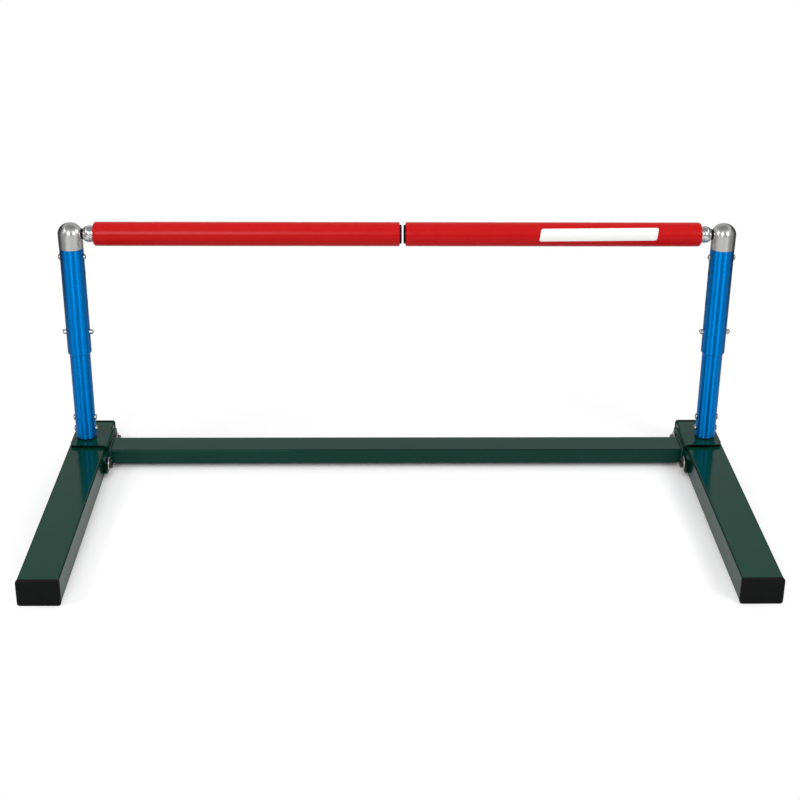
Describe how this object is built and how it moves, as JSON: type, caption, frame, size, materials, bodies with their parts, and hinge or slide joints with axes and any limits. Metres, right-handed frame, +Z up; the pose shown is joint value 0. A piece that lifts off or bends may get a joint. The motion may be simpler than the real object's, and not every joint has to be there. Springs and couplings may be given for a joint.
{
  "type": "track hurdle",
  "caption": "Low training hurdle: steel legs on a crossbar, telescoping posts, and a padded bar split into sprung halves that swing aside and return.",
  "frame": {"origin": "on the floor, under the middle of the bounding box of the whole hurdle", "axes": "+X along the bar to the right as seen from the long ends of the legs, -Y towards those long ends, +Z up"},
  "size_m": [1.082, 0.535, 0.4175],
  "materials": {
    "green_paint": "gloss",
    "black_plastic": "satin",
    "zinc_plate": "satin",
    "blue_anodised": "gloss",
    "satin_steel": "satin",
    "bright_steel": "polished",
    "spring_steel": "satin",
    "core_aluminium": "satin",
    "red_foam": "satin"
  },
  "bodies": {
    "base": {"crossbar": "green_paint", "left_leg": "green_paint", "left_saddle": "green_paint", "left_front_end_cap": "black_plastic", "left_rear_end_cap": "black_plastic", "left_front_bolt": "zinc_plate", "left_rear_bolt": "zinc_plate", "left_front_washer": "zinc_plate", "left_rear_washer": "zinc_plate", "left_inner_post": "blue_anodised", "left_foot_screw_lower_outer": "zinc_plate", "left_foot_screw_lower_inner": "zinc_plate", "left_foot_screw_upper_outer": "zinc_plate", "left_foot_screw_upper_inner": "zinc_plate", "left_height_clip": "spring_steel", "right_leg": "green_paint", "right_saddle": "green_paint", "right_front_end_cap": "black_plastic", "right_rear_end_cap": "black_plastic", "right_front_bolt": "zinc_plate", "right_rear_bolt": "zinc_plate", "right_front_washer": "zinc_plate", "right_rear_washer": "zinc_plate", "right_inner_post": "blue_anodised", "right_foot_screw_lower_outer": "zinc_plate", "right_foot_screw_lower_inner": "zinc_plate", "right_foot_screw_upper_outer": "zinc_plate", "right_foot_screw_upper_inner": "zinc_plate", "right_height_clip": "spring_steel"},
    "left_upright": {"left_outer_post": "blue_anodised", "left_post_cap": "satin_steel", "left_cap_screw_outer": "zinc_plate", "left_cap_screw_inner": "zinc_plate", "left_seat_ring": "black_plastic", "left_tether": "spring_steel"},
    "left_bar_swivel": {"left_swivel": "zinc_plate"},
    "left_bar": {"left_bar_fitting": "bright_steel", "left_bar_core": "core_aluminium", "left_bar_sleeve": "red_foam", "left_bar_plug": "black_plastic", "left_return_spring": "spring_steel", "left_spring_pin": "zinc_plate"},
    "left_button_outer": {"left_height_button_outer": "satin_steel"},
    "left_button_inner": {"left_height_button_inner": "satin_steel"},
    "right_upright": {"right_outer_post": "blue_anodised", "right_post_cap": "satin_steel", "right_cap_screw_outer": "zinc_plate", "right_cap_screw_inner": "zinc_plate", "right_seat_ring": "black_plastic", "right_tether": "spring_steel"},
    "right_bar_swivel": {"right_swivel": "zinc_plate"},
    "right_bar": {"right_bar_fitting": "bright_steel", "right_bar_core": "core_aluminium", "right_bar_sleeve": "red_foam", "right_bar_plug": "black_plastic", "right_return_spring": "spring_steel", "right_spring_pin": "zinc_plate"},
    "right_button_outer": {"right_height_button_outer": "satin_steel"},
    "right_button_inner": {"right_height_button_inner": "satin_steel"}
  },
  "joints": [
    {"name": "left_height_slide", "type": "slide", "parent": "base", "child": "left_upright", "axis": [0, 0, 1], "range_m": [-0.1016, 0], "deforming": ["left_height_button_outer", "left_height_button_inner", "left_height_clip"]},
    {"name": "left_bar_swing", "type": "hinge", "parent": "left_upright", "child": "left_bar_swivel", "pos_m": [-0.484, 0.1935, 0.3975], "axis": [0, 0, 1], "range_deg": [-60, 60], "stiffness_Nm_per_rad": 3, "deforming": ["left_tether"]},
    {"name": "left_bar_tilt", "type": "hinge", "parent": "left_bar_swivel", "child": "left_bar", "pos_m": [-0.484, 0.1935, 0.3975], "axis": [0, 1, 0], "range_deg": [-45, 35], "stiffness_Nm_per_rad": 6, "springref_deg": -7.39, "deforming": ["left_tether"]},
    {"name": "left_button_press_outer", "type": "slide", "parent": "base", "child": "left_button_outer", "axis": [1, 0, 0], "range_m": [0, 0.0083], "stiffness_N_per_m": 800, "springref_m": -0.003, "deforming": ["left_height_clip"]},
    {"name": "left_button_press_inner", "type": "slide", "parent": "base", "child": "left_button_inner", "axis": [-1, 0, 0], "range_m": [0, 0.0083], "stiffness_N_per_m": 800, "springref_m": -0.003, "deforming": ["left_height_clip"]},
    {"name": "right_height_slide", "type": "slide", "parent": "base", "child": "right_upright", "axis": [0, 0, 1], "range_m": [-0.1016, 0], "deforming": ["right_height_button_outer", "right_height_button_inner", "right_height_clip"]},
    {"name": "right_bar_swing", "type": "hinge", "parent": "right_upright", "child": "right_bar_swivel", "pos_m": [0.484, 0.1935, 0.3975], "axis": [0, 0, -1], "range_deg": [-60, 60], "stiffness_Nm_per_rad": 3, "deforming": ["right_tether"]},
    {"name": "right_bar_tilt", "type": "hinge", "parent": "right_bar_swivel", "child": "right_bar", "pos_m": [0.484, 0.1935, 0.3975], "axis": [0, -1, 0], "range_deg": [-45, 35], "stiffness_Nm_per_rad": 6, "springref_deg": -7.02, "deforming": ["right_tether"]},
    {"name": "right_button_press_outer", "type": "slide", "parent": "base", "child": "right_button_outer", "axis": [-1, 0, 0], "range_m": [0, 0.0083], "stiffness_N_per_m": 800, "springref_m": -0.003, "deforming": ["right_height_clip"]},
    {"name": "right_button_press_inner", "type": "slide", "parent": "base", "child": "right_button_inner", "axis": [1, 0, 0], "range_m": [0, 0.0083], "stiffness_N_per_m": 800, "springref_m": -0.003, "deforming": ["right_height_clip"]}
  ]
}
